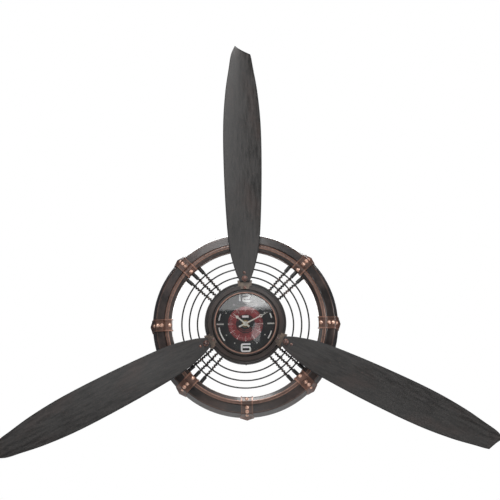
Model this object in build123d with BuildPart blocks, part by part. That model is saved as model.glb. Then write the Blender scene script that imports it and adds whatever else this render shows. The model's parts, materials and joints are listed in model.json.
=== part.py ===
from build123d import *
import math
import os

# A wall clock shaped like an aircraft propeller in front of a radial engine's cowl.
# Millimetres. +Z is up, the wall is the plane y = 0 and the clock faces -Y, so each depth below
# is a distance in front of the wall. Angles run from +X towards +Z, as seen from the front.

# Cowl rim, a formed sheet ring that is open at the back
rim_radius = 185.2  # where the side wall meets the wall
rim_depth = 32.0  # from the wall to the front bend
rim_taper = 7.5  # how far the side wall leans in
rim_sheet = 1.5
hem_width = 8.5
cowl_width = 39.2  # from the opening's edge to where the side wall meets the wall
lip_width = 8.0
bead_width = 5.0
bead_height = 5.0  # above the band's inner edge
bead_shoulder = 2.5
band_drop = 2.2  # how far the band rises towards the bead
frame_back = 14.0  # depth of the grille frame's rear edge
rim_bend = 3.0

# Rim clamps and their rivets
clamp_count = 8
clamp_width = 24.0
clamp_sheet = 1.2
clamp_edge = 1.2  # height of the raised side edges
clamp_edge_width = 2.2
clamp_reach = 3.5  # how far the strap runs back along the inner wall
tent_width = 28.0
tent_height = 4.5
rivet_head_radius = 3.8
rivet_head_height = 2.4
rivet_shank = 1.6
seat_gap = 0.05

# Grille rings and spokes
ring_shares = {"outer": 0.7046, "middle": 0.4828, "inner": 0.2414}  # of the way from case to frame
ring_wire = 3.0
arc_gap = 0.6  # between the ends of a ring's arcs, behind the middle spokes
spoke_inset = 5.0  # from the cowl's front bend back to the spokes
spoke_groups = {"upper_right": 45, "upper_left": 135, "lower_left": 225, "lower_right": 315}
spoke_root_spacing = 12.6
spoke_splay = 3.6  # degrees between neighbours
rod_diameter = 3.2
spring_outside = 7.0
spring_wire = 1.8
spring_pitch = 5.4
plug_diameter = 7.4
plug_length = 16.0

# Clock case
drum_radius = 79.3
drum_sheet = 1.5
drum_back = 13.0
shelf_width = 7.0
back_sheet = 1.2
back_spigot = 3.0
fit_gap = 0.1
dial_depth = 34.0
dial_sheet = 0.8
spacer_height = 10.4
spacer_width = 4.0
gasket_height = 0.8
lens_sheet = 2.0
bezel_width = 20.3  # from the aperture's edge to the drum's outside
bezel_sheet = 1.4
bezel_skirt = 7.0  # height of the skirt around the drum
ring_width = 6.5  # rounded ring around the aperture
ring_height = 4.2  # above the groove beside it
groove_depth = 1.6  # below the flat band
band_start = 8.0  # from the aperture's edge to the flat band
band_width = 7.5
case_screw_radius = 1.0

# Blades, from the hub outwards
blade_angles = {"top": 90, "left": 206.5, "right": 333.5}
root_gap = 0.2  # between the case's skirt and the blades
blade_length = 479.0
blade_half_width = 38.3
blade_sheet = 2.0
blade_twist = 8.0
blade_flat = 27.0  # flat stretch at the root
tip_far = 3.0  # how much the slanted tip takes off at the far edge
tip_near = 20.4  # and at the near edge
bolt_radius = 3.0
bolt_place = 7.0  # from the blade's root
blade_rivet_place = 19.0
bracket_sheet = 2.0
bracket_half_angle = 10.0
bracket_tongue = 17.0
bracket_leg = 16.0
nut_radius = 6.0  # its collar
nut_grip = 3.0  # thread inside the nut
hex_half = 5.0  # half across the flats

# Wall hanger
hanger_sheet = 2.0
hanger_half_angle = 9.0
hanger_rivet_angle = 6.0
hanger_rivet_margin = 2.2  # from the hem's edge
keyhole_radius = 5.0
keyhole_slot = 4.0
keyhole_place = 14.0  # above the grille frame's inner face
keyhole_rise = 9.0

# Quartz movement
movement_size = 56.0
movement_depth = 17.0
movement_wall = 1.2
cell_radius = 7.2
cell_length = 50.0
cell_gap = 0.4
cell_nub = 1.0
contact_sheet = 0.4
nose_radius = 4.0
nose_height = 4.6
minute_tube = 1.6
hour_tube = 2.5
arbor_radius = 0.8
pin_radius = 0.6
pivot_radius = 0.5
pivot_length = 0.8
run_gap = 0.05
wheel_sheet = 0.8
knob_radius = 6.0
hand_sheet = 0.6
hand_gap = 1.6  # between the hour hand and the minute hand
hour_hand_angle = 140.4
hour_hand_length = 32.0
minute_hand_angle = 26.0
minute_hand_length = 49.0

hub_axis = Axis((0, 0, 0), (0, -1, 0))
first = (Align.CENTER, Align.CENTER, Align.MIN)


def front(depth, x=0.0, z=0.0):
    """Plane parallel to the wall: its x is +X, its y is +Z and its normal faces the front."""
    return Plane(origin=(x, -depth, z), x_dir=(1, 0, 0), z_dir=(0, -1, 0))


def section(angle):
    """Plane through the hub axis: its x is the radius and its y is the depth."""
    a = math.radians(angle)
    return Plane(origin=(0, 0, 0), x_dir=(math.cos(a), 0, math.sin(a)), z_dir=(math.sin(a), 0, -math.cos(a)))


def turned(angle):
    """Turn about the hub axis, from +X towards +Z."""
    return Rotation(0, -angle, 0)


def save(piece, name):
    piece.part.label = name
    export_step(piece.part, f"parts/{name}.step")


os.makedirs("parts", exist_ok=True)

# ---------------------------------------------------------------- cowl rim

opening_radius = rim_radius - cowl_width
bead_inner = opening_radius + lip_width
bead_outer = bead_inner + bead_width
band_edge = bead_outer + bead_shoulder
band_depth = rim_depth + band_drop
bead_depth = band_depth + bead_height
lip_depth = bead_depth - 4.0
bend_radius = rim_radius - rim_taper

joint_depth = lip_depth - clamp_reach  # where the cowl meets the grille frame
joint_share = 1.5 * rim_bend / rim_depth  # of the way down the side, where the cowl meets its side wall

inner_joint = (opening_radius, joint_depth)
lip_corner = (opening_radius, lip_depth)
bead_corner = (bead_inner, bead_depth)
bead_shoulder_corner = (bead_outer, bead_depth)
band_corner = (band_edge, band_depth)
bend_corner = (bend_radius, rim_depth)
outer_joint = (bend_radius + joint_share * rim_taper, (1 - joint_share) * rim_depth)
wall_corner = (rim_radius, 0)
hem_edge = (rim_radius - hem_width, 0)


def ring(depth, height, outer, inner):
    """Flat ring around the hub axis, from a depth towards the front."""
    with BuildPart() as washer:
        with BuildSketch(front(depth)):
            Circle(outer)
            Circle(inner, mode=Mode.SUBTRACT)
        extrude(amount=height)
    return washer


def formed_ring(corners):
    """Ring of sheet around the hub axis, rounded at the corners of its outer surface."""
    with BuildPart() as sheet:
        with BuildSketch(section(0)):
            with BuildLine():
                FilletPolyline(*corners, radius=rim_bend)
                offset(amount=rim_sheet, side=Side.RIGHT)
            make_face()
        revolve(axis=hub_axis)
    return sheet.part


def on_rim(start, end, fraction, lift, angle):
    """Plane on a straight stretch of the rim's outer surface, its normal pointing away from the rim."""
    run = (end[0] - start[0], end[1] - start[1])
    length = math.hypot(*run)
    out = (-run[1] / length, run[0] / length)
    radius = start[0] + fraction * run[0] + lift * out[0]
    depth = start[1] + fraction * run[1] + lift * out[1]
    a = math.radians(angle)
    return Plane(
        origin=(radius * math.cos(a), -depth, radius * math.sin(a)),
        x_dir=(-math.sin(a), 0, math.cos(a)),
        z_dir=(out[0] * math.cos(a), -out[1], out[0] * math.sin(a)),
    )


clamp_angles = [360 / clamp_count * step for step in range(clamp_count)]
rivet_places = [
    (lip_corner, bead_corner, 0.5),
    (band_corner, bend_corner, 0.25),
    (band_corner, bend_corner, 0.76),
    (bend_corner, wall_corner, 0.24),
]


def rivet_planes(lift):
    """Planes of all clamp rivets, on the straps' outer surface or a lift above the rim."""
    return [on_rim(*place, lift, angle) for angle in clamp_angles for place in rivet_places]


front_corners = [lip_corner, bead_corner, bead_shoulder_corner, band_corner, bend_corner]

with BuildPart() as cowl_rim:
    add(formed_ring([inner_joint, *front_corners, outer_joint]))
    with Locations(*rivet_planes(0)):
        Cylinder(rivet_shank, 4 * rim_sheet, mode=Mode.SUBTRACT)
save(cowl_rim, "cowl_rim")

hanger_rivet_radius = hem_edge[0] + hanger_rivet_margin
hanger_rivet_places = [
    turned(90 + side * hanger_rivet_angle) * Location((hanger_rivet_radius, 0, 0), (90, 0, 0)) for side in (-1, 1)
]

with BuildPart() as cowl_wall:
    add(formed_ring([outer_joint, wall_corner, hem_edge]))
    with Locations(*rivet_planes(0)):
        Cylinder(rivet_shank, 4 * rim_sheet, mode=Mode.SUBTRACT)
    with Locations(*hanger_rivet_places):
        Cylinder(rivet_shank, 4 * rim_sheet, mode=Mode.SUBTRACT)
save(cowl_wall, "cowl_wall")

save(ring(frame_back, joint_depth - frame_back, opening_radius + rim_sheet, opening_radius), "grille_frame")

# ---------------------------------------------------------------- rim clamps

strap_end = (rim_radius - 0.16 * rim_taper, 0.16 * rim_depth)
strap_arc = 14.0


def strap_band(thickness):
    """Band that follows the rim's outer surface, wider than the strap."""
    with BuildPart() as band:
        with BuildSketch(section(-strap_arc / 2)):
            with BuildLine():
                FilletPolyline(inner_joint, *front_corners, strap_end, radius=rim_bend)
                offset(amount=thickness, side=Side.LEFT)
            make_face()
        revolve(axis=hub_axis, revolution_arc=strap_arc)
    return band.part


# What the rim fills, from its side wall and band inwards
with BuildPart() as rim_body:
    with BuildSketch(section(0)):
        with BuildLine():
            FilletPolyline(band_corner, bend_corner, wall_corner, hem_edge, radius=rim_bend)
            Polyline(hem_edge, (opening_radius, 0), (opening_radius, band_depth), band_corner)
        make_face()
    revolve(axis=hub_axis)

with BuildPart() as tent:
    tent_back = 1.0
    tent_front = tent_back + rim_depth / 2
    foot = bend_radius - 8
    for depth, rise in ((tent_back, tent_height), (tent_front, clamp_sheet + 0.6)):
        wall = rim_radius - rim_taper * depth / rim_depth
        with BuildSketch(front(depth)):
            with BuildLine():
                Polyline((foot, -tent_width / 2), (wall, -tent_width / 2), (wall + rise, 0),
                         (wall, tent_width / 2), (foot, tent_width / 2), close=True)
            make_face()
    loft()
    add(rim_body.part, mode=Mode.SUBTRACT)

strap_middle = (rim_radius - clamp_width, -rim_depth / 2, 0)
strap_box = 4 * clamp_width
with BuildPart() as strap_core:
    add(strap_band(clamp_sheet))
    with Locations(strap_middle):
        Box(strap_box, strap_box, clamp_width, mode=Mode.INTERSECT)

with BuildPart() as strap_channel:
    add(strap_band(clamp_sheet + clamp_edge))
    with Locations(strap_middle):
        Box(strap_box, strap_box, clamp_width, mode=Mode.INTERSECT)
        Box(strap_box, strap_box, clamp_width - 2 * clamp_edge_width, mode=Mode.SUBTRACT)

with BuildPart() as rim_clamps:
    for angle in clamp_angles:
        with Locations(turned(angle)):
            add(strap_core.part)
            add(strap_channel.part)
            add(tent.part)
    with Locations(*rivet_planes(0)):
        Cylinder(rivet_shank, 6 * clamp_sheet, mode=Mode.SUBTRACT)
save(rim_clamps, "rim_clamps")


def dome(radius, height):
    """Spherical cap that stands on its own z = 0 plane."""
    ball = (radius**2 + height**2) / (2 * height)
    with BuildPart() as cap:
        with Locations((0, 0, height - ball)):
            Sphere(ball)
        Box(4 * ball, 4 * ball, 2 * ball, align=(Align.CENTER, Align.CENTER, Align.MAX), mode=Mode.SUBTRACT)
    return cap.part


with BuildPart() as rivet:
    add(dome(rivet_head_radius, rivet_head_height))
    rivet_length = clamp_sheet + rim_sheet + 1.2
    Cylinder(rivet_shank, rivet_length, align=(Align.CENTER, Align.CENTER, Align.MAX))

with BuildPart() as clamp_rivets:
    with Locations(*rivet_planes(clamp_sheet + seat_gap)):
        add(rivet.part)
    for seat in (rim_clamps, cowl_rim, cowl_wall):
        add(seat.part, mode=Mode.SUBTRACT)
save(clamp_rivets, "clamp_rivets")

# ---------------------------------------------------------------- grille rings and spokes

spoke_depth = rim_depth - spoke_inset

for ring_name, share in ring_shares.items():
    ring_radius = drum_radius + share * (opening_radius - drum_radius)
    gap_angle = math.degrees(arc_gap / ring_radius)
    with BuildPart() as grille_ring:
        for angle in spoke_groups.values():
            with BuildSketch(section(angle + gap_angle / 2)):
                with Locations((ring_radius, spoke_depth - spring_outside / 2 - ring_wire / 2)):
                    Circle(ring_wire / 2)
            revolve(axis=hub_axis, revolution_arc=360 / len(spoke_groups) - gap_angle)
    save(grille_ring, f"grille_ring_{ring_name}")

spoke_start = drum_radius + 2.0
plug_start = opening_radius - plug_length


def spoke_places(angle):
    """Where the three spokes of a group start, each lying along its own +X."""
    return [
        turned(angle) * Location((spoke_start, -spoke_depth, side * spoke_root_spacing), (0, -side * spoke_splay, 0))
        for side in (-1, 0, 1)
    ]


all_spokes = [place for angle in spoke_groups.values() for place in spoke_places(angle)]
along_x = (0, 90, 0)
spoke_span = opening_radius - spoke_start
rim_fill = Location((0, -spoke_depth, 0), (90, 0, 0))

with BuildPart() as spoke_rods:
    with Locations(*all_spokes):
        with Locations((-6, 0, 0)):
            Cylinder(rod_diameter / 2, spoke_span + 6 - plug_length / 2, rotation=along_x, align=first)
    with Locations(rim_fill):
        Cylinder(drum_radius, 40, mode=Mode.SUBTRACT)
save(spoke_rods, "spoke_rods")

with BuildPart() as spoke_plugs:
    with Locations(*all_spokes):
        with Locations((spoke_span - plug_length, 0, 0)):
            Cylinder(plug_diameter / 2, plug_length + 6, rotation=along_x, align=first)
        Cylinder(rod_diameter / 2, spoke_span - plug_length / 2, rotation=along_x, align=first, mode=Mode.SUBTRACT)
    with Locations(rim_fill):
        Cylinder(opening_radius, 40, mode=Mode.INTERSECT)
save(spoke_plugs, "spoke_plugs")

spring_radius = (spring_outside - spring_wire) / 2
spring_length = spoke_span - plug_length - spring_wire - 0.6
with BuildPart() as spring:
    with BuildLine():
        coil_path = Helix(spring_pitch, spring_length, spring_radius, direction=(1, 0, 0))
    with BuildSketch(Plane(origin=coil_path @ 0, z_dir=coil_path % 0)):
        Circle(spring_wire / 2)
    sweep(path=coil_path, is_frenet=True)

for group_name, group_angle in spoke_groups.items():
    with BuildPart() as springs:
        with Locations(*spoke_places(group_angle)):
            with Locations((spring_wire / 2, 0, 0)):
                add(spring.part)
    save(springs, f"spoke_springs_{group_name}")

# ---------------------------------------------------------------- clock case

# Motion work: the cannon pinion drives the minute wheel, which drives the hour wheel and the knob
motion_module = 0.5
cannon_teeth = 12
minute_teeth = 36
minute_pinion_teeth = 10
hour_teeth = 40
motion_distance = motion_module * (cannon_teeth + minute_teeth) / 2
motion_angle = 60


def step(start, distance, angle):
    a = math.radians(angle)
    return (start[0] + distance * math.cos(a), start[1] + distance * math.sin(a))


minute_place = step((0, 0), motion_distance, motion_angle)
knob_place = step(minute_place, motion_distance, motion_angle)

drum_inner = drum_radius - drum_sheet
spacer_front = dial_depth + dial_sheet + spacer_height
lens_back = spacer_front + gasket_height
lens_front = lens_back + lens_sheet
bezel_face = lens_front + 2.2  # front of the bezel's flat band
groove_face = bezel_face - groove_depth
ring_face = groove_face + ring_height
drum_front = groove_face - bezel_sheet
skirt_radius = drum_radius + fit_gap + bezel_sheet
aperture_radius = drum_radius - bezel_width
band_inner = aperture_radius + band_start
band_outer = band_inner + band_width
lens_radius = aperture_radius + ring_width - 1.6

screw_angles = [30, 150, 270]
screw_depth = drum_back + back_spigot / 2
screw_places = [turned(a) * Location((drum_inner, -screw_depth, 0), along_x) for a in screw_angles]

# Root bracket studs hold each bracket to the bezel's flat band
stud_place = (band_inner + band_outer) / 2
stud_places = [turned(a) * Location((stud_place, -bezel_face, 0), (90, 0, 0)) for a in blade_angles.values()]
stud_radius = 1.5
stud_head_radius = 3.0

with BuildPart() as case_drum:
    with BuildSketch(section(0)):
        with BuildLine():
            shelf_edge = drum_inner - shelf_width
            Polyline(
                (drum_radius, drum_back), (drum_radius, drum_front), (drum_inner, drum_front), (drum_inner, dial_depth),
                (shelf_edge, dial_depth), (shelf_edge, dial_depth - drum_sheet),
                (drum_inner, dial_depth - drum_sheet), (drum_inner, drum_back), close=True,
            )
        make_face()
    revolve(axis=hub_axis)
    with Locations(*screw_places):
        Cylinder(case_screw_radius, 3 * drum_sheet, mode=Mode.SUBTRACT)
save(case_drum, "case_drum")

with BuildPart() as bezel:
    with BuildSketch(section(0)):
        with BuildLine():
            ring_outer = aperture_radius + ring_width
            bead_face = bezel_face - 0.4
            FilletPolyline(
                (skirt_radius, bezel_face - bezel_skirt), (skirt_radius, bead_face),
                (skirt_radius - 2.4, bead_face), (skirt_radius - 3.0, groove_face), (band_outer + 0.6, groove_face),
                (band_outer, bezel_face), (band_inner, bezel_face), (band_inner - 0.4, groove_face),
                (ring_outer, groove_face), (ring_outer - 1.0, ring_face), (aperture_radius, ring_face),
                (aperture_radius, lens_front), radius=0.35,
            )
            offset(amount=bezel_sheet, side=Side.LEFT)
        make_face()
    revolve(axis=hub_axis)
    with Locations(*stud_places):
        Cylinder(stud_radius, 4 * bezel_sheet, mode=Mode.SUBTRACT)
save(bezel, "bezel")

with BuildPart() as case_back:
    cell_z = -(movement_size / 2 - movement_wall - cell_radius - cell_gap)
    with BuildSketch(front(drum_back - back_sheet)):
        Circle(drum_radius)
        with Locations((0, cell_z)):
            RectangleRounded(movement_size + 2, 2 * cell_radius + 4, 2, mode=Mode.SUBTRACT)
        with Locations(knob_place):
            Circle(knob_radius + 2.5, mode=Mode.SUBTRACT)
    extrude(amount=back_sheet)
    with BuildSketch(front(drum_back)):
        Circle(drum_inner - fit_gap)
        Circle(drum_inner - fit_gap - 2, mode=Mode.SUBTRACT)
    extrude(amount=back_spigot)
    with Locations(*screw_places):
        Cylinder(case_screw_radius, 12, mode=Mode.SUBTRACT)
save(case_back, "case_back")

with BuildPart() as case_screws:
    for place in screw_places:
        with Locations(place * Location((0, 0, drum_sheet))):
            add(dome(1.9, 1.2))
            Cylinder(case_screw_radius, drum_sheet + 2.0, align=(Align.CENTER, Align.CENTER, Align.MAX))
save(case_screws, "case_screws")


dial_front = dial_depth + dial_sheet
save(ring(dial_depth, dial_sheet, drum_inner - fit_gap, nose_radius + fit_gap), "dial_plate")
save(ring(dial_front, spacer_height, aperture_radius + spacer_width, aperture_radius), "dial_spacer")
save(ring(spacer_front, gasket_height, lens_radius, aperture_radius), "lens_gasket")

with BuildPart() as lens:
    with BuildSketch(front(lens_back)):
        Circle(lens_radius)
    extrude(amount=lens_sheet)
save(lens, "lens")

# ---------------------------------------------------------------- blades and their root hardware

blade_root = skirt_radius + root_gap
bracket_back = bezel_face
blade_back = bracket_back + bracket_sheet
blade_front = blade_back + blade_sheet
bracket_end = blade_root + blade_rivet_place + 5.0
bolt_radius_place = blade_root + bolt_place
rivet_radius_place = blade_root + blade_rivet_place
hole_gap = 0.2

# Distance from the root and half width as shares of the blade's length and widest half
blade_shape = [(0.0, 0.24), (0.045, 0.47), (0.14, 0.757), (0.3, 0.922), (0.5, 1.0), (0.665, 0.982),
               (0.8, 0.841), (0.9, 0.637), (0.958, 0.501), (1.0, 0.25)]


def twist_at(distance):
    """Blade angle, level over the flat root and eased to the full twist by a third of the length."""
    share = min(max((distance - blade_flat) / (blade_length / 3), 0), 1)
    return blade_twist * share * share * (3 - 2 * share)


def blade_section(distance):
    """Plane across the blade, its x running over the blade's width and its normal outwards."""
    lean = math.radians(twist_at(distance))
    middle = (blade_back + blade_front) / 2
    return Plane(origin=(blade_root + distance, -middle, 0), x_dir=(0, -math.sin(lean), math.cos(lean)), z_dir=(1, 0, 0))


with BuildPart() as blade:
    with BuildSketch(front(blade_back)):
        with BuildLine():
            root_half = blade_half_width * blade_shape[0][1]
            flat_half = blade_half_width * blade_shape[1][1]
            flat_end = blade_root + blade_flat
            Polyline((blade_root, -root_half), (flat_end, -flat_half), (flat_end, flat_half), (blade_root, root_half),
                     close=True)
        make_face()
    extrude(amount=blade_sheet)
    with BuildSketch(blade_section(blade_flat)):
        Rectangle(2 * flat_half, blade_sheet)
    for share, width in blade_shape[2:]:
        with BuildSketch(blade_section(share * blade_length)):
            Rectangle(2 * width * blade_half_width, blade_sheet)
    loft()
    # The tip is cut on a slant between its far and its near corner
    with BuildSketch(front(0)):
        with BuildLine():
            far, near = blade_root + blade_length - tip_far, blade_root + blade_length - tip_near
            half = blade_half_width * 0.5
            Polyline((near, -half), (far, 0.28 * blade_half_width), (far + half, blade_half_width),
                     (far + 2 * half, -blade_half_width), (near, -blade_half_width), close=True)
        make_face()
    extrude(amount=2 * blade_front, mode=Mode.SUBTRACT)
    with Locations(Location((bolt_radius_place, -blade_back, 0), (90, 0, 0))):
        Cylinder(bolt_radius + hole_gap, 20, mode=Mode.SUBTRACT)
    with Locations(Location((rivet_radius_place, -blade_back, 0), (90, 0, 0))):
        Cylinder(rivet_shank, 20, mode=Mode.SUBTRACT)

for blade_name, blade_angle in blade_angles.items():
    with BuildPart() as placed_blade:
        with Locations(turned(blade_angle)):
            add(blade.part)
    save(placed_blade, f"blade_{blade_name}")

with BuildPart() as bracket:
    # Tongue under the blade
    with BuildSketch(front(bracket_back)):
        with Locations(((band_inner + 0.8 + bracket_end) / 2, 0)):
            RectangleRounded(bracket_end - band_inner - 0.8, bracket_tongue, 2)
    extrude(amount=bracket_sheet)
    # Foot that spreads over the case edge, and its leg down the case's side
    for outer, inner, depth, height in (
        (skirt_radius + bracket_sheet + 3, band_outer - 1.0, bracket_back, bracket_sheet),
        (skirt_radius + bracket_sheet, skirt_radius, bracket_back - bracket_leg, bracket_leg),
    ):
        with BuildSketch(section(-bracket_half_angle)):
            with Locations(((outer + inner) / 2, depth + height / 2)):
                Rectangle(outer - inner, height)
        revolve(axis=hub_axis, revolution_arc=2 * bracket_half_angle)
    with Locations(Location((bolt_radius_place, -blade_back, 0), (90, 0, 0))):
        Cylinder(bolt_radius + hole_gap, 20, mode=Mode.SUBTRACT)
    with Locations(Location((rivet_radius_place, -blade_back, 0), (90, 0, 0))):
        Cylinder(rivet_shank, 20, mode=Mode.SUBTRACT)
    with Locations(Location((stud_place, -bezel_face, 0), (90, 0, 0))):
        Cylinder(stud_radius, 20, mode=Mode.SUBTRACT)

with BuildPart() as root_brackets:
    with Locations(*[turned(a) for a in blade_angles.values()]):
        add(bracket.part)
save(root_brackets, "root_brackets")


def at_roots(piece, name, radius, depth):
    """Copies of a fastener at the three blade roots, its z = 0 plane at a depth and facing the front."""
    with BuildPart() as group:
        for a in blade_angles.values():
            with Locations(turned(a) * Location((radius, -depth, 0), (90, 0, 0))):
                add(piece)
    save(group, name)


bolt_head = 4.0
with BuildPart() as bolt:
    with BuildSketch(Plane.XY.offset(-bracket_sheet - bolt_head)):
        RegularPolygon(hex_half, 6, major_radius=False, rotation=30)
    extrude(amount=bolt_head)
    with Locations((0, 0, -bracket_sheet)):
        Cylinder(bolt_radius, bracket_sheet + blade_sheet + nut_grip, align=first)
at_roots(bolt.part, "blade_bolts", bolt_radius_place, blade_back)

with BuildPart() as dome_nut:
    with BuildSketch():
        RegularPolygon(hex_half, 6, major_radius=False, rotation=30)
    extrude(amount=nut_grip)
    Cylinder(nut_radius, 0.8, align=first)
    with Locations((0, 0, nut_grip)):
        add(dome(hex_half, hex_half - 0.8))
    Cylinder(bolt_radius, nut_grip + hole_gap, align=first, mode=Mode.SUBTRACT)
at_roots(dome_nut.part, "blade_dome_nuts", bolt_radius_place, blade_front)

with BuildPart() as blade_rivet:
    add(dome(3.0, 1.8))
    Cylinder(rivet_shank, blade_sheet + bracket_sheet + 0.8, align=(Align.CENTER, Align.CENTER, Align.MAX))
at_roots(blade_rivet.part, "blade_rivets", rivet_radius_place, blade_front)

with BuildPart() as stud:
    add(dome(stud_head_radius, 1.8))
    Cylinder(stud_radius, bracket_sheet + bezel_sheet + 0.6, align=(Align.CENTER, Align.CENTER, Align.MAX))
at_roots(stud.part, "bracket_studs", stud_place, bracket_back + bracket_sheet)

# ---------------------------------------------------------------- wall hanger

hanger_back = rim_sheet
hanger_foot = opening_radius + rim_sheet
with BuildPart() as wall_hanger:
    with BuildSketch(section(90 - hanger_half_angle)):
        with BuildLine():
            hanger_top = rim_radius - 1.5 * rim_bend
            hanger_reach = frame_back + 8.0
            Polyline(
                (hanger_foot, hanger_reach), (hanger_foot, hanger_back), (hanger_top, hanger_back),
                (hanger_top, hanger_back + hanger_sheet), (hanger_foot + hanger_sheet, hanger_back + hanger_sheet),
                (hanger_foot + hanger_sheet, hanger_reach), close=True,
            )
        make_face()
    revolve(axis=hub_axis, revolution_arc=2 * hanger_half_angle)
    with BuildSketch(front(0)):
        with Locations((0, opening_radius + keyhole_place)):
            Circle(keyhole_radius)
            with Locations((0, keyhole_rise / 2)):
                Rectangle(keyhole_slot, keyhole_rise)
            with Locations((0, keyhole_rise)):
                Circle(keyhole_slot / 2)
    extrude(amount=frame_back / 2, mode=Mode.SUBTRACT)
    with Locations(*hanger_rivet_places):
        Cylinder(rivet_shank, 20, mode=Mode.SUBTRACT)
save(wall_hanger, "wall_hanger")

with BuildPart() as hanger_rivet:
    Cylinder(rivet_shank, rim_sheet + hanger_sheet, align=first)
    with Locations((0, 0, rim_sheet + hanger_sheet)):
        add(dome(2.6, 1.4))
with BuildPart() as hanger_rivets:
    with Locations(*hanger_rivet_places):
        add(hanger_rivet.part)
save(hanger_rivets, "hanger_rivets")

# ---------------------------------------------------------------- quartz movement: shells

lid_back = dial_depth - movement_depth
lid_front = lid_back + movement_wall
wall_back = dial_depth - movement_wall
half_size = movement_size / 2
bay_low = -half_size + movement_wall
bay_high = bay_low + 2 * (cell_radius + cell_gap)
gear_low = bay_high + movement_wall
gear_high = half_size - movement_wall
cell_depth = wall_back - cell_radius - cell_gap / 2

# Power train: the centre wheel turns the third wheel's pinion, which turns the second wheel's pinion
train_module = 0.33
centre_teeth = 60
third_pinion_teeth = 8
third_module = 0.25
third_teeth = 64
second_pinion_teeth = 8
second_teeth = 30
train_angle = 150
third_place = step((0, 0), train_module * (centre_teeth + third_pinion_teeth) / 2, train_angle)
second_place = step(third_place, third_module * (third_teeth + second_pinion_teeth) / 2, train_angle)
rotor_place = (14.5, -4.0)
coil_x = 22.0

# Layers, as depths of each wheel's rear face
centre_layer = lid_front + 2.8
third_layer = centre_layer + 2.2
second_layer = third_layer + 2.0
minute_layer = second_layer + 2.8
hour_layer = minute_layer + 2.2
pinion_reach = 0.4  # how far a pinion stands past the wheel that it meshes with

gear_arbors = [minute_place, third_place, second_place, rotor_place]
shaft_radius = 1.5


def block(depth, height, size, middle):
    """Block parallel to the wall, from a depth towards the front, for use inside a part."""
    with BuildSketch(front(depth)) as outline:
        with Locations(middle):
            Rectangle(*size)
    return extrude(outline.sketch, amount=height, mode=Mode.PRIVATE)


gear_middle = (0, (gear_low + gear_high) / 2)
bay_middle = (0, (bay_low + bay_high) / 2)
inner_width = movement_size - 2 * movement_wall
bay_size = (inner_width, bay_high - bay_low)
lid_size = (movement_size, half_size - gear_low + movement_wall / 2)
lid_middle = (0, half_size - lid_size[1] / 2)

with BuildPart() as movement_front:
    with BuildSketch(front(lid_back)):
        Rectangle(movement_size, movement_size)
    extrude(amount=movement_depth)
    add(block(lid_back, movement_wall, lid_size, lid_middle), mode=Mode.SUBTRACT)
    add(block(lid_back, wall_back - lid_back, (inner_width, gear_high - gear_low), gear_middle), mode=Mode.SUBTRACT)
    add(block(lid_back, wall_back - lid_back, bay_size, bay_middle), mode=Mode.SUBTRACT)
    with Locations(Location((0, -dial_depth, 0), (90, 0, 0))):
        Cylinder(nose_radius, nose_height, align=first)
        Cylinder(hour_tube + run_gap, 4 * nose_height, mode=Mode.SUBTRACT)
    with Locations(*[Location((x, -wall_back, z), (90, 0, 0)) for x, z in gear_arbors]):
        Cylinder(pivot_radius + run_gap, pivot_length + 0.1, align=first, mode=Mode.SUBTRACT)
save(movement_front, "movement_front")

with BuildPart() as movement_back:
    add(block(lid_back, movement_wall, lid_size, lid_middle))
    with Locations(*[Location((x, -lid_front, z), (90, 0, 0)) for x, z in [(0, 0)] + gear_arbors]):
        Cylinder(pivot_radius + run_gap, 2 * pivot_length + 0.2, mode=Mode.SUBTRACT)
    with Locations(Location((knob_place[0], -lid_front, knob_place[1]), (90, 0, 0))):
        Cylinder(shaft_radius + run_gap, 4 * movement_wall, mode=Mode.SUBTRACT)
save(movement_back, "movement_back")

save(ring(dial_front, 0.4, nose_radius + 3.5, nose_radius + fit_gap), "dial_washer")
with BuildPart() as dial_nut:
    with BuildSketch(front(dial_front + 0.4)):
        RegularPolygon(nose_radius + 2.5, 6, major_radius=False)
        Circle(nose_radius, mode=Mode.SUBTRACT)
    extrude(amount=2.0)
save(dial_nut, "dial_nut")

# ---------------------------------------------------------------- quartz movement: power and circuit

bay_z = bay_middle[1]
cell_end = inner_width / 2 - contact_sheet
cell_place = Location((cell_end - cell_length, -cell_depth, bay_z), along_x)
with BuildPart() as battery:
    with Locations(cell_place):
        Cylinder(cell_radius, cell_length - cell_nub, align=first)
        Cylinder(2.7, cell_length, align=first)
save(battery, "battery")

contact_height = 10.0
with BuildPart() as battery_contact:
    with Locations((cell_end + contact_sheet / 2, -cell_depth, bay_z)):
        Box(contact_sheet, contact_height, contact_height)
save(battery_contact, "battery_contact")

battery_spring_wire = 0.7
battery_spring_length = 2 * cell_end - cell_length
with BuildPart() as battery_spring:
    with Locations((-cell_end - contact_sheet / 2, -cell_depth, bay_z)):
        Box(contact_sheet, contact_height, contact_height)
    with BuildLine():
        spring_turns = battery_spring_length - battery_spring_wire - 0.05
        spiral = Helix(
            spring_turns / 2, spring_turns, 3.2,
            center=(-cell_end + battery_spring_wire / 2 - 0.02, -cell_depth, bay_z), direction=(1, 0, 0),
        )
    with BuildSketch(Plane(origin=spiral @ 0, z_dir=spiral % 0)):
        Circle(battery_spring_wire / 2)
    sweep(path=spiral, is_frenet=True)
save(battery_spring, "battery_spring")

board_size = (22.0, 9.5)
board_middle = (-half_size + movement_wall + 1.0 + board_size[0] / 2, gear_high - 0.6 - board_size[1] / 2)
board_sheet = 1.0
with BuildPart() as circuit_board:
    add(block(lid_front, board_sheet, board_size, board_middle))
save(circuit_board, "circuit_board")

crystal_radius = 1.0
with BuildPart() as quartz_crystal:
    with Locations(Location((board_middle[0] + 2, -lid_front - board_sheet - crystal_radius, board_middle[1] + 2.5), along_x)):
        Cylinder(crystal_radius, 6.0, align=first)
save(quartz_crystal, "quartz_crystal")

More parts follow.
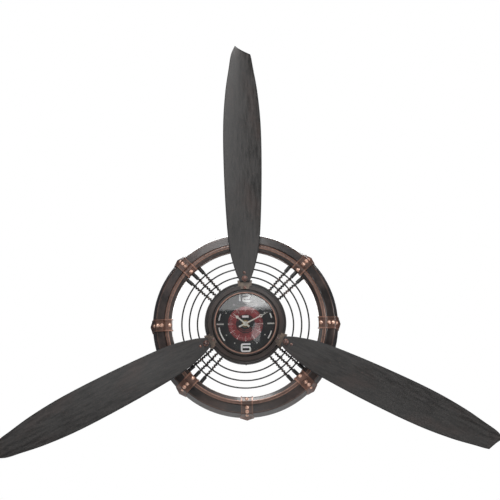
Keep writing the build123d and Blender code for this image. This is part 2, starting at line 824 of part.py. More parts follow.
with BuildPart() as chip_cover:
    with Locations(Location((board_middle[0] - 5, -lid_front - board_sheet, board_middle[1]), (90, 0, 0))):
        add(dome(2.6, 1.1))
save(chip_cover, "chip_cover")

stator_layer = lid_front + 2.4
stator_sheet = 0.8
rotor_magnet = 2.0
stator_bore = rotor_magnet + 0.5
lower_arm = (-8.5, -5.5)
upper_arm = (10.5, 13.5)
core_width = 2.0
with BuildPart() as stator:
    with BuildSketch(front(stator_layer)):
        with Locations(rotor_place):
            Circle(stator_bore + 2.0)
        for low, high in (lower_arm, upper_arm):
            with Locations(((16.0 + coil_x + core_width) / 2, (low + high) / 2)):
                Rectangle(coil_x + core_width - 16.0 + 2.0, high - low)
        with Locations((16.2, (rotor_place[1] + upper_arm[1]) / 2)):
            Rectangle(2.4, upper_arm[1] - rotor_place[1])
        with Locations(rotor_place):
            Circle(stator_bore, mode=Mode.SUBTRACT)
    extrude(amount=stator_sheet)
save(stator, "stator")

core_layer = stator_layer + stator_sheet
core_length = upper_arm[1] - lower_arm[0]
core_middle = (coil_x, (upper_arm[1] + lower_arm[0]) / 2)
with BuildPart() as coil_core:
    add(block(core_layer, core_width, (core_width, core_length), core_middle))
save(coil_core, "coil_core")

coil_radius = 3.2
coil_length = upper_arm[0] - lower_arm[1] - 1.0
with BuildPart() as drive_coil:
    with Locations((coil_x, -core_layer - core_width / 2, core_middle[1])):
        Cylinder(coil_radius, coil_length)
    add(block(core_layer, core_width, (core_width, core_length), core_middle), mode=Mode.SUBTRACT)
save(drive_coil, "drive_coil")

# ---------------------------------------------------------------- quartz movement: wheels


def toothed(teeth, module, phase, pinion=False):
    """Outline of a wheel or pinion about the sketch's origin, one tooth centred on the phase angle."""
    pitch = 2 * math.pi / teeth
    radius = teeth * module / 2
    root, tip = radius - 0.95 * module, radius + 0.7 * module
    flank = ((root, 0.21), (radius, 0.2), (tip, 0.09)) if pinion else ((root, 0.33), (radius, 0.2), (tip, 0.07))
    points = []
    for tooth in range(teeth):
        middle = math.radians(phase) + tooth * pitch
        for r, share in [(r, -share) for r, share in flank] + [(r, share) for r, share in reversed(flank)]:
            angle = middle + share * pitch
            points.append((r * math.cos(angle), r * math.sin(angle)))
    with BuildSketch() as outline:
        with BuildLine():
            Polyline(*points, close=True)
        make_face()
    return outline.sketch


def wheel(depth, height, place, outline):
    """Toothed layer at a place, for use inside a part."""
    return extrude(front(depth, *place) * outline, amount=height, mode=Mode.PRIVATE)


def arbor(depth, end, place, radius):
    """Round shaft between two depths, for use inside a part."""
    with BuildSketch() as outline:
        Circle(radius)
    return extrude(front(depth, *place) * outline.sketch, amount=end - depth, mode=Mode.PRIVATE)


def pivots(place, rear=lid_front - pivot_length, fore=wall_back + pivot_length):
    return arbor(rear, fore, place, pivot_radius)


end_play = 0.15
cannon_rear = minute_layer - pinion_reach
minute_hand_depth = dial_depth + nose_height + 2 * hand_sheet + hand_gap
cap_height = 2.4
arbor_end = minute_hand_depth + hand_sheet + cap_height / 2

centre_phase = train_angle
third_pinion_phase = train_angle + 180 + 180 / third_pinion_teeth
second_pinion_phase = train_angle + 180 + 180 / second_pinion_teeth
minute_phase = motion_angle + 180 + 180 / minute_teeth
hour_phase = motion_angle + 180 / hour_teeth

with BuildPart() as centre_wheel:
    add(wheel(centre_layer, wheel_sheet, (0, 0), toothed(centre_teeth, train_module, centre_phase)))
    add(arbor(lid_front + end_play, arbor_end, (0, 0), arbor_radius))
    add(arbor(lid_front - pivot_length, lid_front + end_play, (0, 0), pivot_radius))
save(centre_wheel, "centre_wheel")

with BuildPart() as cannon_pinion:
    cannon_height = wheel_sheet + 2 * pinion_reach
    add(wheel(cannon_rear, cannon_height, (0, 0), toothed(cannon_teeth, motion_module, motion_angle, True)))
    add(arbor(cannon_rear, minute_hand_depth + hand_sheet, (0, 0), minute_tube))
    add(arbor(lid_back, arbor_end + 1, (0, 0), arbor_radius), mode=Mode.SUBTRACT)
save(cannon_pinion, "cannon_pinion")

minute_pinion_rear = minute_layer + wheel_sheet
minute_pinion_height = hour_layer + wheel_sheet + pinion_reach - minute_pinion_rear
hour_module = 2 * motion_distance / (minute_pinion_teeth + hour_teeth)
with BuildPart() as minute_wheel:
    add(wheel(minute_layer, wheel_sheet, minute_place, toothed(minute_teeth, motion_module, minute_phase)))
    add(wheel(minute_pinion_rear, minute_pinion_height, minute_place,
              toothed(minute_pinion_teeth, hour_module, motion_angle + 180, True)))
    add(arbor(lid_front + end_play, wall_back - end_play, minute_place, pin_radius))
    add(pivots(minute_place))
save(minute_wheel, "minute_wheel")

hour_hand_depth = dial_depth + nose_height + hand_sheet / 2
with BuildPart() as hour_wheel:
    add(wheel(hour_layer, wheel_sheet, (0, 0), toothed(hour_teeth, hour_module, hour_phase)))
    add(arbor(hour_layer, hour_hand_depth + hand_sheet, (0, 0), hour_tube))
    add(arbor(lid_back, arbor_end + 1, (0, 0), minute_tube + run_gap), mode=Mode.SUBTRACT)
save(hour_wheel, "hour_wheel")

with BuildPart() as third_wheel:
    add(wheel(centre_layer - pinion_reach, wheel_sheet + 2 * pinion_reach, third_place,
              toothed(third_pinion_teeth, train_module, third_pinion_phase, True)))
    add(wheel(third_layer, wheel_sheet, third_place, toothed(third_teeth, third_module, train_angle)))
    add(arbor(lid_front + end_play, wall_back - end_play, third_place, pin_radius))
    add(pivots(third_place))
save(third_wheel, "third_wheel")

with BuildPart() as second_wheel:
    add(wheel(third_layer - pinion_reach, wheel_sheet + 2 * pinion_reach, second_place,
              toothed(second_pinion_teeth, third_module, second_pinion_phase, True)))
    add(wheel(second_layer, wheel_sheet, second_place, toothed(second_teeth, third_module, train_angle)))
    add(arbor(lid_front + end_play, wall_back - end_play, second_place, pin_radius))
    add(pivots(second_place))
save(second_wheel, "second_wheel")

with BuildPart() as rotor:
    add(arbor(stator_layer - 0.8, stator_layer + stator_sheet + 0.8, rotor_place, rotor_magnet))
    add(wheel(second_layer - 1.0, 2 * wheel_sheet, rotor_place, toothed(8, third_module, 0, True)))
    add(arbor(lid_front + end_play, wall_back - end_play, rotor_place, pin_radius))
    add(pivots(rotor_place))
save(rotor, "rotor")

knob_front = lid_back - end_play
knob_height = 3.0
with BuildPart() as setting_shaft:
    add(wheel(minute_layer, wheel_sheet, knob_place, toothed(cannon_teeth, motion_module, motion_angle + 180, True)))
    add(arbor(knob_front - knob_height, minute_layer + wheel_sheet, knob_place, shaft_radius))
save(setting_shaft, "setting_shaft")

with BuildPart() as setting_knob:
    add(arbor(knob_front - knob_height, knob_front, knob_place, knob_radius))
    add(arbor(knob_front - knob_height - 1, knob_front + 1, knob_place, shaft_radius), mode=Mode.SUBTRACT)
save(setting_knob, "setting_knob")

# ---------------------------------------------------------------- hands


def hand(depth, angle, length, hub, bore, width, mark_place, mark_outer, mark_inner):
    """Baton hand with a round mark on it, its point at the length and a short tail."""
    with BuildPart() as shape:
        with BuildSketch(front(depth)):
            with BuildLine():
                tail = 0.3 * length
                Polyline((-tail, -width * 0.7), (0.55 * length, -width / 2), (length, -0.15), (length, 0.15),
                         (0.55 * length, width / 2), (-tail, width * 0.7), close=True)
            make_face()
            Circle(hub)
            with Locations((mark_place, 0)):
                Circle(mark_outer)
                if mark_inner:
                    Circle(mark_inner, mode=Mode.SUBTRACT)
            Circle(bore, mode=Mode.SUBTRACT)
        extrude(amount=hand_sheet)
    with BuildPart() as placed:
        with Locations(turned(angle)):
            add(shape.part)
    return placed


save(hand(hour_hand_depth, hour_hand_angle, hour_hand_length, 4.6, hour_tube, 2.6, 21.0, 3.0, 0), "hour_hand")
save(hand(minute_hand_depth, minute_hand_angle, minute_hand_length, 3.8, minute_tube, 2.2, 34.0, 3.2, 1.7),
     "minute_hand")

with BuildPart() as hand_cap:
    with Locations(front(minute_hand_depth + hand_sheet)):
        add(dome(3.4, cap_height))
        Cylinder(arbor_radius, cap_height / 2, align=first, mode=Mode.SUBTRACT)
save(hand_cap, "hand_cap")
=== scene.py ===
import json
import math
import bmesh
import bpy
from mathutils import Matrix, Vector


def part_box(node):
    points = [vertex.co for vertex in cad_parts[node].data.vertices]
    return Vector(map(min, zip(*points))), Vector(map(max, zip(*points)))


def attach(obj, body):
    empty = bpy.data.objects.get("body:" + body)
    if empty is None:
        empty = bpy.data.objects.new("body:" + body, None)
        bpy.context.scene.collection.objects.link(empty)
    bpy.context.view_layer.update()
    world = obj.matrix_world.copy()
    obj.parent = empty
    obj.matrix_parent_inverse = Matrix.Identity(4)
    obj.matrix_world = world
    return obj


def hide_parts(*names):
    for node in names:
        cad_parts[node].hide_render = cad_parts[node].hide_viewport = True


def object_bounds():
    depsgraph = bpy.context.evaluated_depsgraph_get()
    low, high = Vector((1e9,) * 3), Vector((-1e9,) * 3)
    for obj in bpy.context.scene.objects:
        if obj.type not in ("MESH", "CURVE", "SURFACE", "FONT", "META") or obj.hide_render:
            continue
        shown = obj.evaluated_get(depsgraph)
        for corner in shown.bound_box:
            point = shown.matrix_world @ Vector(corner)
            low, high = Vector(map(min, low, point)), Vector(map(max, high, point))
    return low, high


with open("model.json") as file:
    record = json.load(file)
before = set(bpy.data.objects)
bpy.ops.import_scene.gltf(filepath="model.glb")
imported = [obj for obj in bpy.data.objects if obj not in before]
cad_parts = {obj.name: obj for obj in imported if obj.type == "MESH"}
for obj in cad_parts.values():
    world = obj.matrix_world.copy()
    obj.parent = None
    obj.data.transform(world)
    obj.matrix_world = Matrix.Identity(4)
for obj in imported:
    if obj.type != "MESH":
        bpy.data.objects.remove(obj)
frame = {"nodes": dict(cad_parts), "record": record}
cad_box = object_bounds()
scene = bpy.context.scene
nodes = frame["nodes"]

MM = 0.001
ROOT = "clock_body"

# ------------------------------------------------------------------ camera

PHOTO_SPAN = 0.996  # metres across the picture at the hub
CAMERA_DISTANCE = 6.0
CAMERA_ELEVATION = -7.6
CAMERA_ROLL = -1.05
CAMERA_TARGET = Vector((0.0116, -0.02, 0.1494))

camera_data = bpy.data.cameras.new("camera")
camera_data.sensor_width = 36
camera_data.lens = 36 * CAMERA_DISTANCE / PHOTO_SPAN
camera_data.clip_end = 100
camera = bpy.data.objects.new("camera", camera_data)
scene.collection.objects.link(camera)
lean = math.radians(CAMERA_ELEVATION)
camera.location = CAMERA_TARGET + CAMERA_DISTANCE * Vector((0, -math.cos(lean), math.sin(lean)))
look = (CAMERA_TARGET - camera.location).to_track_quat("-Z", "Y").to_matrix().to_4x4()
roll = Matrix.Rotation(math.radians(CAMERA_ROLL), 4, "Z")
camera.matrix_world = Matrix.Translation(camera.location) @ look @ roll
scene.camera = camera

# ------------------------------------------------------------------ node helpers


class Shade:
    """Builds one procedural material, its nodes added one by one."""

    def __init__(self, name):
        self.material = bpy.data.materials.new(name)
        self.material.use_nodes = True
        self.tree = self.material.node_tree
        self.shader = self.tree.nodes["Principled BSDF"]
        self.place = self.add("ShaderNodeTexCoord").outputs["Object"]

    def add(self, kind, settings=None, **inputs):
        node = self.tree.nodes.new(kind)
        for name, value in (settings or {}).items():
            setattr(node, name, value)
        for name, value in inputs.items():
            numbered = name[0] == "i" and name[1:].isdigit()
            self.put(node.inputs[int(name[1:]) if numbered else name.replace("_", " ")], value)
        return node

    def put(self, socket, value):
        if isinstance(value, bpy.types.NodeSocket):
            self.tree.links.new(value, socket)
        elif socket.type == "RGBA" and len(value) == 3:
            socket.default_value = (*value, 1)
        else:
            socket.default_value = value

    def math(self, operation, a, b=0.0):
        return self.add("ShaderNodeMath", {"operation": operation}, i0=a, i1=b).outputs[0]

    def noise(self, scale, detail=4.0, roughness=0.6, stretch=None, place=None):
        where = place or self.place
        if stretch:
            where = self.add("ShaderNodeMapping", i0=where, Scale=stretch).outputs[0]
        sizes = {"Scale": scale, "Detail": detail, "Roughness": roughness}
        return self.add("ShaderNodeTexNoise", Vector=where, **sizes).outputs["Fac"]

    def ramp(self, value, low, high, out_low=0.0, out_high=1.0):
        node = self.add("ShaderNodeMapRange", {"interpolation_type": "SMOOTHSTEP"}, Value=value)
        limits = {"From Min": low, "From Max": high, "To Min": out_low, "To Max": out_high}
        for name, number in limits.items():
            node.inputs[name].default_value = number
        return node.outputs["Result"]

    def mix(self, share, a, b):
        node = self.add("ShaderNodeMix", {"data_type": "RGBA"}, i0=share, i6=a, i7=b)
        return node.outputs[2]

    def radius(self):
        """Distance from the hub axis."""
        parts = self.add("ShaderNodeSeparateXYZ", Vector=self.place).outputs
        across = self.math("MULTIPLY", parts[0], parts[0])
        up = self.math("MULTIPLY", parts[2], parts[2])
        return self.math("SQRT", self.math("ADD", across, up))

    def band(self, value, low, high, soft):
        """1 between low and high, eased over a soft edge."""
        rising, falling = self.ramp(value, low - soft, low), self.ramp(value, high, high + soft, 1, 0)
        return self.math("MULTIPLY", rising, falling)

    def bump(self, height, strength, distance):
        node = self.add("ShaderNodeBump", Strength=strength, Distance=distance, Height=height)
        self.put(self.shader.inputs["Normal"], node.outputs[0])

    def finish(self, color=None, roughness=None, metallic=None, **constants):
        if color is not None:
            self.put(self.shader.inputs["Base Color"], color)
        if roughness is not None:
            self.put(self.shader.inputs["Roughness"], roughness)
        if metallic is not None:
            self.put(self.shader.inputs["Metallic"], metallic)
        for name, value in constants.items():
            self.put(self.shader.inputs[name.replace("_", " ")], value)
        return self.material


def linear(*rgb):
    """Linear colour of an sRGB colour given as 0 to 255."""
    return tuple(((c / 255 + 0.055) / 1.055) ** 2.4 if c > 10 else c / 255 / 12.92 for c in rgb)


BLACK_BRONZE = linear(24, 20, 19)
DARK_BRONZE = linear(58, 46, 42)
BROWN_BRONZE = linear(92, 60, 48)
# Copper both for rub and for painted highlights along edges
COPPER_RUB_AND_HIGHLIGHT = linear(178, 134, 115)
PALE_COPPER = linear(240, 200, 178)


# ------------------------------------------------------------------ materials


def bronze_paint(name, dark, mid, rub_and_highlight_tone, rub_and_highlight_share=0.5, rub_and_highlight_mask=None, grain=220.0, rough=0.34):
    """Dark bronze paint with cloudy tone, fine speckle and copper rubbed onto what stands proud; the copper
    is partly painted highlights, placed by a mask along edges that catch the light or scattered as pale
    flecks standing in for sparkle.
    """
    s = Shade(name)
    cloud = s.noise(22, 5, 0.62)
    speckle = s.noise(900, 3, 0.7)
    breakup_noise = s.noise(grain, 4, 0.7)
    tone = s.mix(s.ramp(cloud, 0.35, 0.68), dark, mid)
    flecks = s.math("MULTIPLY", s.ramp(speckle, 0.58, 0.75), 0.25)
    tone = s.mix(flecks, tone, mid)
    copper_rub_and_highlight = s.ramp(breakup_noise, 0.62 - 0.35 * rub_and_highlight_share, 0.8 - 0.3 * rub_and_highlight_share)
    # With a mask, the copper is partly rub and partly painted highlights on edges that catch the light
    if rub_and_highlight_mask is not None:
        copper_rub_and_highlight = s.math("MULTIPLY", rub_and_highlight_mask(s), s.ramp(breakup_noise, 0.25, 0.6, 0.35, 1.0))
    else:
        copper_rub_and_highlight = s.math("MULTIPLY", copper_rub_and_highlight, rub_and_highlight_share)
    color = s.mix(copper_rub_and_highlight, tone, rub_and_highlight_tone)
    uneven = s.math("ADD", cloud, s.math("MULTIPLY", speckle, 0.5))
    roughness = s.ramp(uneven, 0.4, 1.0, rough - 0.1, rough + 0.16)
    s.bump(s.math("ADD", speckle, s.math("MULTIPLY", breakup_noise, 0.6)), 0.35, 0.0003)
    gloss = {"Specular_IOR_Level": 0.4, "Coat_Weight": 0.25, "Coat_Roughness": 0.12}
    return s.finish(color, roughness, s.math("MULTIPLY", copper_rub_and_highlight, 0.7), **gloss)


def rub_and_highlight_ring(s, r, low, high, soft, share):
    """A share of copper, partly rub and partly painted highlight, on the ring of surface between two radii
    from the hub, in millimetres.
    """
    return s.math("MULTIPLY", s.band(r, low * MM, high * MM, soft * MM), share)


def rim_rub_and_highlights(s):
    """Copper along the bead's two edges and thinly on the inner lip and the outer bend: partly rub, partly
    painted highlights on the edges that catch the light.
    """
    r = s.radius()
    inner, outer = s.band(r, 153.4 * MM, 154 * MM, 0.8 * MM), s.band(r, 158.8 * MM, 159.3 * MM, 0.8 * MM)
    edges = s.math("MAXIMUM", inner, outer)
    bead = s.math("MAXIMUM", s.math("MULTIPLY", edges, 0.6), rub_and_highlight_ring(s, r, 154, 159, 1.0, 0.2))
    lip = rub_and_highlight_ring(s, r, 145.5, 146.4, 0.6, 0.3)
    bend = rub_and_highlight_ring(s, r, 175.8, 176.6, 1.0, 0.1)
    return s.math("MAXIMUM", bead, s.math("MAXIMUM", lip, bend))


def bezel_rub_and_highlight(s):
    """Copper on the step around the lens and thinly on the flat outside it; the ring on the step is partly
    rub and partly a painted highlight.
    """
    r = s.radius()
    return s.math("MAXIMUM", rub_and_highlight_ring(s, r, 59.8, 61.2, 0.8, 0.55), rub_and_highlight_ring(s, r, 67.5, 74.0, 0.6, 0.03))


def clamp_rub_and_highlights(s):
    """Copper on the straps' raised side edges, strongest where they cross the bead: partly rub, partly
    painted highlights where those edges catch the light.
    """
    parts = s.add("ShaderNodeSeparateXYZ", Vector=s.place).outputs
    angle = s.math("ARCTAN2", parts[2], parts[0])
    eighth = math.pi / 4
    turned_half = s.math("FLOORED_MODULO", s.math("ADD", angle, eighth / 2), eighth)
    offset = s.math("SUBTRACT", turned_half, eighth / 2)
    r = s.radius()
    side = s.math("MULTIPLY", r, s.math("ABSOLUTE", s.math("SINE", offset)))
    past_bead = s.ramp(r, 158 * MM, 166 * MM, 0.55, 0.18)
    edge = s.math("MULTIPLY", s.ramp(side, 8.8 * MM, 9.8 * MM), past_bead)
    return s.math("MAXIMUM", edge, 0.08)


def blade_paint():
    """Grey-black paint, brushed along the blade: the UV map runs in metres along and across it."""
    s = Shade("blade_paint")
    uv = s.add("ShaderNodeUVMap", {"uv_map": "blade"}).outputs[0]
    streak = s.noise(30, 6, 0.7, (0.8, 6.0, 1.0), uv)
    fine = s.noise(160, 4, 0.75, (0.5, 3.0, 1.0), uv)
    cloud = s.noise(9, 4, 0.6, (1.0, 2.0, 1.0), uv)
    speckle = s.noise(420, 3, 0.7)
    parts = s.add("ShaderNodeSeparateXYZ", Vector=uv).outputs
    tone = s.mix(s.ramp(streak, 0.36, 0.66), linear(27, 26, 25), linear(45, 43, 42))
    tone = s.mix(s.math("MULTIPLY", s.ramp(fine, 0.52, 0.7), 0.45), tone, linear(66, 60, 57))
    tone = s.mix(s.math("MULTIPLY", s.ramp(cloud, 0.5, 0.75), 0.4), tone, linear(58, 45, 41))
    tone = s.mix(s.math("MULTIPLY", s.ramp(speckle, 0.6, 0.72), 0.35), tone, linear(92, 68, 58))
    tip = s.ramp(parts[0], 0.43, 0.556, 0, 0.4)
    tone = s.mix(s.math("MULTIPLY", tip, s.ramp(streak, 0.3, 0.7)), tone, linear(96, 72, 62))
    edge = s.add("ShaderNodeAttribute", {"attribute_name": "edge"}).outputs["Fac"]
    color = s.mix(s.ramp(edge, 0.2, 0.85), tone, linear(9, 8, 8))
    roughness = s.ramp(s.math("ADD", streak, s.math("MULTIPLY", fine, 0.5)), 0.45, 1.0, 0.34, 0.56)
    s.bump(s.math("ADD", s.math("MULTIPLY", streak, 0.6), s.math("ADD", fine, speckle)), 0.3, 0.0004)
    return s.finish(color, roughness, 0.0, Specular_IOR_Level=0.45)


def plain_plastic(name, color, dark, rough=0.5):
    s = Shade(name)
    cloud = s.noise(60, 3, 0.6)
    grain = s.noise(1800, 2, 0.6)
    tone = s.mix(s.ramp(cloud, 0.3, 0.7), dark, color)
    s.bump(grain, 0.2, 0.0001)
    return s.finish(tone, s.ramp(grain, 0.3, 0.7, rough - 0.06, rough + 0.08), 0.0)


def turned_metal(name, color, dark, rough=0.3, bumpy=0.25):
    s = Shade(name)
    fine = s.noise(1200, 3, 0.6, (1.0, 6.0, 1.0))
    cloud = s.noise(90, 3, 0.6)
    tone = s.mix(s.ramp(cloud, 0.3, 0.7), dark, color)
    s.bump(fine, bumpy, 0.0001)
    return s.finish(tone, s.ramp(fine, 0.3, 0.7, rough - 0.08, rough + 0.1), 1.0)


def dial_paint():
    s = Shade("dial_paint")
    mottle = s.noise(700, 5, 0.8)
    cloud = s.noise(45, 4, 0.6)
    tone = s.mix(s.ramp(mottle, 0.5, 0.72), linear(5, 7, 6), linear(13, 21, 18))
    tone = s.mix(s.math("MULTIPLY", cloud, 0.25), tone, linear(15, 9, 10))
    s.bump(mottle, 0.2, 0.0001)
    return s.finish(tone, s.ramp(cloud, 0.3, 0.7, 0.4, 0.55), 0.0)


def red_print():
    s = Shade("red_print")
    mottle = s.noise(420, 5, 0.8)
    cloud = s.noise(80, 3, 0.6)
    tone = s.mix(s.ramp(mottle, 0.35, 0.7), linear(104, 26, 30), linear(176, 68, 70))
    tone = s.mix(s.math("MULTIPLY", s.ramp(cloud, 0.4, 0.66), 0.6), tone, linear(70, 24, 24))
    s.bump(mottle, 0.2, 0.0001)
    return s.finish(tone, s.ramp(cloud, 0.3, 0.7, 0.4, 0.55), 0.0)


def white_print(name="white_print", color=(252, 252, 250), dark=(220, 220, 216)):
    s = Shade(name)
    mottle = s.noise(600, 4, 0.7)
    tone = s.mix(s.ramp(mottle, 0.4, 0.75), linear(*color), linear(*dark))
    s.bump(mottle, 0.15, 0.0001)
    return s.finish(tone, s.ramp(mottle, 0.3, 0.7, 0.32, 0.5), 0.0)


def lens_glass():
    s = Shade("lens_glass")
    smear = s.noise(30, 4, 0.6)
    roughness = s.ramp(smear, 0.35, 0.75, 0.015, 0.03)
    return s.finish((1.0, 1.0, 1.0), roughness, 0.0, Transmission_Weight=1.0, IOR=1.5)


def cell_wrap():
    """Plain two-tone wrap around the cell, split along its length."""
    s = Shade("cell_wrap")
    parts = s.add("ShaderNodeSeparateXYZ", Vector=s.place).outputs
    scuff = s.noise(300, 4, 0.7)
    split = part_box("battery")[0].x + 34 * MM
    tone = s.mix(s.ramp(parts[0], split, split + 0.5 * MM), linear(28, 32, 40), linear(168, 104, 52))
    tone = s.mix(s.math("MULTIPLY", s.ramp(scuff, 0.55, 0.7), 0.3), tone, linear(120, 118, 114))
    s.bump(scuff, 0.15, 0.0001)
    return s.finish(tone, s.ramp(scuff, 0.3, 0.7, 0.22, 0.4), 0.3)


finishes = {
    # The rim's copper lines on the bead edges, inner lip and outer bend are partly painted highlights
    "rim_paint": bronze_paint("rim_paint", BLACK_BRONZE, DARK_BRONZE, COPPER_RUB_AND_HIGHLIGHT, rub_and_highlight_mask=rim_rub_and_highlights),
    # The copper on the clamp edges over the bead is partly painted highlights
    "clamp_copper": bronze_paint("clamp_copper", linear(44, 31, 26), BROWN_BRONZE, COPPER_RUB_AND_HIGHLIGHT,
                                 rub_and_highlight_mask=clamp_rub_and_highlights, rough=0.36),
    "rivet_copper": bronze_paint("rivet_copper", linear(140, 98, 82), linear(190, 138, 116), PALE_COPPER,
                                 rub_and_highlight_share=0.75, rough=0.24),
    "grille_black": bronze_paint("grille_black", linear(14, 13, 13), linear(26, 24, 23), linear(80, 62, 54),
                                 rub_and_highlight_share=0.1),
    # Pale pinkish flecks on the springs: partly copper rub, partly painted sparkle highlights on the coils
    "spring_black": bronze_paint("spring_black", linear(12, 11, 11), linear(26, 21, 20),
                                 linear(222, 188, 174), rub_and_highlight_share=0.42, grain=150, rough=0.3),
    # The copper ring on the bezel step is partly a painted highlight
    "case_paint": bronze_paint("case_paint", linear(10, 8, 7), linear(32, 22, 18), COPPER_RUB_AND_HIGHLIGHT,
                               rub_and_highlight_mask=bezel_rub_and_highlight),
    "bracket_copper": bronze_paint("bracket_copper", linear(60, 50, 43), linear(92, 78, 66),
                                   linear(168, 140, 120), rub_and_highlight_share=0.3),
    "bolt_dark": bronze_paint("bolt_dark", linear(52, 40, 38), linear(92, 68, 62), linear(206, 150, 130),
                              rub_and_highlight_share=0.45, rough=0.3),
    "hanger_steel": turned_metal("hanger_steel", linear(176, 176, 178), linear(120, 120, 124), 0.38),
    "dial_print": dial_paint(),
    "spacer_black": plain_plastic("spacer_black", linear(26, 26, 27), linear(16, 16, 17), 0.6),
    "gasket_rubber": plain_plastic("gasket_rubber", linear(24, 24, 24), linear(15, 15, 15), 0.7),
    "lens_glass": lens_glass(),
    "shell_plastic": plain_plastic("shell_plastic", linear(44, 44, 46), linear(28, 28, 30), 0.48),
    "nut_brass": turned_metal("nut_brass", linear(150, 128, 92), linear(96, 78, 50), 0.34),
    "cell_wrap": cell_wrap(),
    "contact_steel": turned_metal("contact_steel", linear(196, 196, 196), linear(150, 150, 152), 0.25),
    "board_green": plain_plastic("board_green", linear(46, 104, 62), linear(26, 70, 42), 0.4),
    "chip_black": plain_plastic("chip_black", linear(22, 22, 23), linear(14, 14, 15), 0.3),
    "coil_copper": turned_metal("coil_copper", linear(190, 110, 62), linear(140, 74, 40), 0.3, 0.5),
    "core_steel": turned_metal("core_steel", linear(170, 170, 172), linear(120, 120, 122), 0.35),
    "rotor_magnet": turned_metal("rotor_magnet", linear(96, 96, 100), linear(60, 60, 64), 0.4),
    "wheel_plastic": plain_plastic("wheel_plastic", linear(226, 224, 216), linear(200, 198, 190), 0.4),
    "knob_plastic": plain_plastic("knob_plastic", linear(216, 210, 196), linear(188, 180, 166), 0.42),
    "hand_white": white_print("hand_white", (232, 230, 220), (196, 194, 184)),
    "blade_paint": blade_paint(),
}

for part in frame["record"]["subparts"]:
    mesh = nodes[part["node"]].data
    mesh.materials.clear()
    mesh.materials.append(finishes[part["material_slot"]])

# ------------------------------------------------------------------ mesh helpers


def new_piece(name, mesh, material, body):
    mesh.materials.append(material)
    piece = bpy.data.objects.new(name, mesh)
    scene.collection.objects.link(piece)
    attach(piece, body)
    return piece


def turned(angle):
    """Turn about the hub axis, from +X towards +Z."""
    return Matrix.Rotation(-math.radians(angle), 4, "Y")


# ------------------------------------------------------------------ blades

BLADE_ROOT = 81 * MM  # from the hub axis
TIP_FAR = 476 * MM  # from the root to the longer corner of the slanted tip
TIP_NEAR = 458.6 * MM
BLADE_SHEET = 2 * MM
BLADE_CROWN = 2.6 * MM
BLADE_TWIST = 8.0
FLAT_ROOT = 27 * MM
HALF_WIDTH = 38.3 * MM
BLADE_ANGLES = {"top": 90, "left": 206.5, "right": 333.5}
# Share of the length from the root, and share of the half width there
WIDTHS = [(0.0, 0.24), (0.045, 0.47), (0.14, 0.757), (0.3, 0.922), (0.5, 1.0), (0.665, 0.982),
          (0.8, 0.841), (0.9, 0.637), (0.958, 0.501), (1.0, 0.25)]
BLADE_LENGTH = 479 * MM


def smooth_through(points, x):
    """Value at x of a smooth curve through the points (cubic Hermite, slopes from the neighbours)."""
    last = len(points) - 1
    i = next((k for k in range(last) if x <= points[k + 1][0]), last - 1)

    def slope(k):
        a, b = points[max(k - 1, 0)], points[min(k + 1, last)]
        return (b[1] - a[1]) / (b[0] - a[0])

    (x0, y0), (x1, y1) = points[i], points[i + 1]
    span = x1 - x0
    t = min(max((x - x0) / span, 0), 1)
    return ((2 * t**3 - 3 * t**2 + 1) * y0 + (t**3 - 2 * t**2 + t) * span * slope(i)
            + (3 * t**2 - 2 * t**3) * y1 + (t**3 - t**2) * span * slope(i + 1))


def blade_mesh(name, angle):
    """Crowned, twisted sheet with a slanted tip, as a grid along and across."""
    along, across = 96, 20
    front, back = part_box("blade_top")
    middle = (front.y + back.y) / 2
    mesh = bpy.data.meshes.new(name)
    bm = bmesh.new()
    uv = bm.loops.layers.uv.new("blade")
    grid, places = [], {}
    for i in range(along + 1):
        t = i / along
        row = []
        for j in range(across + 1):
            s = 2 * j / across - 1
            reach = t * (TIP_NEAR + (TIP_FAR - TIP_NEAR) * (s + 1) / 2)
            half = HALF_WIDTH * smooth_through(WIDTHS, min(reach / BLADE_LENGTH, 1))
            ease = min(max((reach - FLAT_ROOT) / (BLADE_LENGTH / 3), 0), 1)
            ease = ease * ease * (3 - 2 * ease)
            lean = math.radians(BLADE_TWIST * ease)
            crown = BLADE_CROWN * ease * (1 - s * s)
            v, out = s * half, crown
            forward = v * math.sin(lean) + out * math.cos(lean)
            sideways = v * math.cos(lean) - out * math.sin(lean)
            point = Vector((BLADE_ROOT + reach, middle - forward, sideways))
            vertex = bm.verts.new(turned(angle) @ point)
            places[vertex] = (reach, v)
            row.append(vertex)
        grid.append(row)
    for i in range(along):
        for j in range(across):
            face = bm.faces.new((grid[i][j], grid[i][j + 1], grid[i + 1][j + 1], grid[i + 1][j]))
            face.smooth = True
            for loop in face.loops:
                loop[uv].uv = places[loop.vert]
    bmesh.ops.recalc_face_normals(bm, faces=bm.faces)
    bm.to_mesh(mesh)
    rim = {v.index for v in bm.verts if v.is_boundary}
    bm.free()
    edge = mesh.attributes.new("edge", "FLOAT", "POINT")
    for index in range(len(mesh.vertices)):
        edge.data[index].value = 1.0 if index in rim else 0.0
    return mesh


def apply_modifiers(piece):
    """Bake the piece's modifiers into its mesh."""
    view = bpy.context.evaluated_depsgraph_get()
    mesh = bpy.data.meshes.new_from_object(piece.evaluated_get(view))
    piece.modifiers.clear()
    piece.data = mesh


for blade_name, blade_angle in BLADE_ANGLES.items():
    blade = new_piece(f"blade_sheet_{blade_name}", blade_mesh(f"blade_{blade_name}", blade_angle),
                      finishes["blade_paint"], ROOT)
    thicken = blade.modifiers.new("thickness", "SOLIDIFY")
    thicken.thickness = BLADE_SHEET
    thicken.offset = 0
    soften = blade.modifiers.new("edge", "BEVEL")
    soften.width = 0.5 * MM
    soften.segments = 2
    soften.limit_method = "ANGLE"
    apply_modifiers(blade)
    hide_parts(f"blade_{blade_name}")

# ------------------------------------------------------------------ printed dial

PRINT = 0.12 * MM
dial_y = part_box("dial_plate")[0].y


